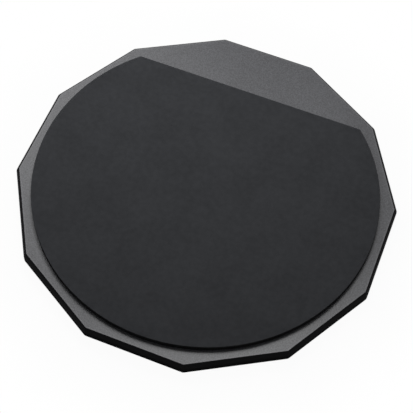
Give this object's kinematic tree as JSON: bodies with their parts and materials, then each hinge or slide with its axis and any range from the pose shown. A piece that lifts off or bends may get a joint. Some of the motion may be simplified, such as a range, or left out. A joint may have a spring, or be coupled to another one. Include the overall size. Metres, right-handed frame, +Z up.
{
  "type": "practice pad",
  "caption": "Drummer's practice pad: a soft rubber playing sheet, round with a straight-cut far side, bonded to a flat dodecagonal board that stands on a non-slip sheet.",
  "frame": {"origin": "centre of the flat underside that the pad stands on, which is the centre of the dodecagonal outline", "axes": "+Z up through the playing surface, +Y square to the straight-cut side of the rubber and away from the player, +X to the player's right"},
  "size_m": [0.3048, 0.3048, 0.0204],
  "materials": {
    "painted_board": "satin black paint over sealed fibreboard",
    "grey_laminate": "dark grey laminate with a fine pebble grain, low sheen",
    "playing_rubber": "matt charcoal gum rubber",
    "base_rubber": "matt black rubber with a fine grip texture",
    "adhesive": "double-sided adhesive film"
  },
  "bodies": {
    "root": {"base_board": "painted_board", "top_laminate": "grey_laminate", "playing_rubber": "playing_rubber", "rubber_bond_sheet": "adhesive", "nonslip_base_sheet": "base_rubber", "base_bond_sheet": "adhesive"}
  },
  "joints": []
}
